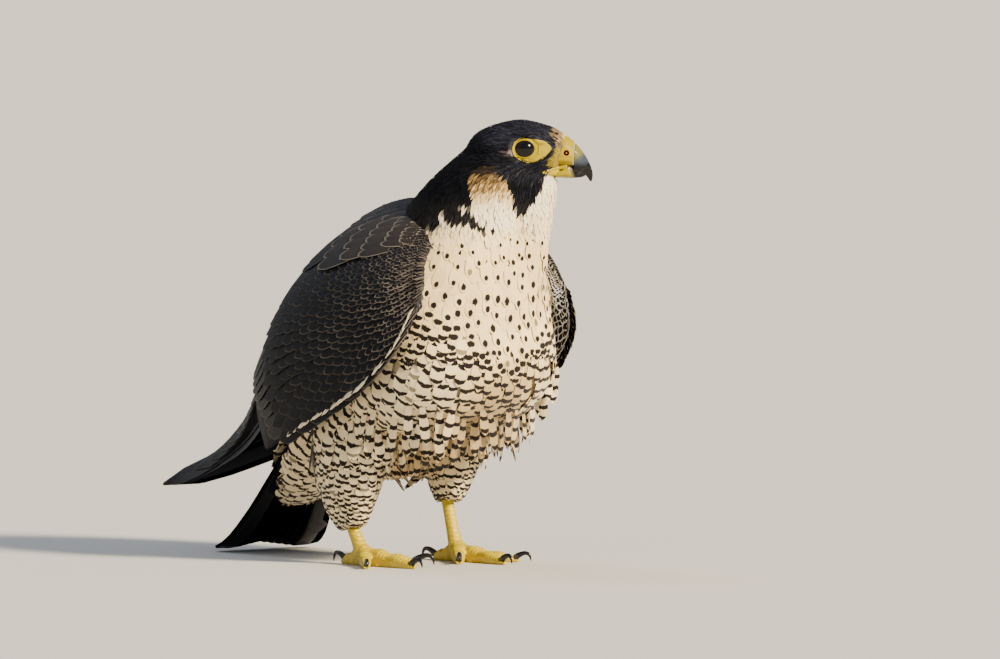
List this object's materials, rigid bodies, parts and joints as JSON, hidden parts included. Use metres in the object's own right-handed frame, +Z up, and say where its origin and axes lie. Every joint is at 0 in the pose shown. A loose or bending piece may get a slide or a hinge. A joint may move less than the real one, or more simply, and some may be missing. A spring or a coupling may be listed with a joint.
{
  "type": "peregrine falcon",
  "caption": "Life-size still model of a standing adult peregrine falcon, wings folded and head turned to its left.",
  "frame": {"origin": "bottom centre of the bird's bounding box, on the floor", "axes": "+X the way the body faces and the longest extent, +Y to the bird's left and the shortest extent, +Z up"},
  "size_m": [0.3372, 0.1502, 0.2685],
  "materials": {
    "dark_plumage": "blue-black feathers with fine pale edges",
    "pale_plumage": "cream to white feathers with dark spots and bars",
    "yellow_skin": "bare scaly yellow skin",
    "horn": "slate horn, darkest at the tips",
    "eye": "wet brown-black eye"
  },
  "bodies": {
    "root": {"head": "dark_plumage", "neck": "dark_plumage", "torso": "pale_plumage", "tail": "dark_plumage", "wing_right": "dark_plumage", "wing_left": "dark_plumage", "trouser_right": "pale_plumage", "trouser_left": "pale_plumage", "shank_right": "yellow_skin", "shank_left": "yellow_skin", "foot_right": "yellow_skin", "foot_left": "yellow_skin", "cere": "yellow_skin", "upper_bill": "horn", "lower_bill": "horn", "claw_middle_right": "horn", "claw_inner_right": "horn", "claw_outer_right": "horn", "claw_hind_right": "horn", "claw_middle_left": "horn", "claw_inner_left": "horn", "claw_outer_left": "horn", "claw_hind_left": "horn", "eye_right": "eye", "eye_left": "eye"}
  },
  "joints": []
}
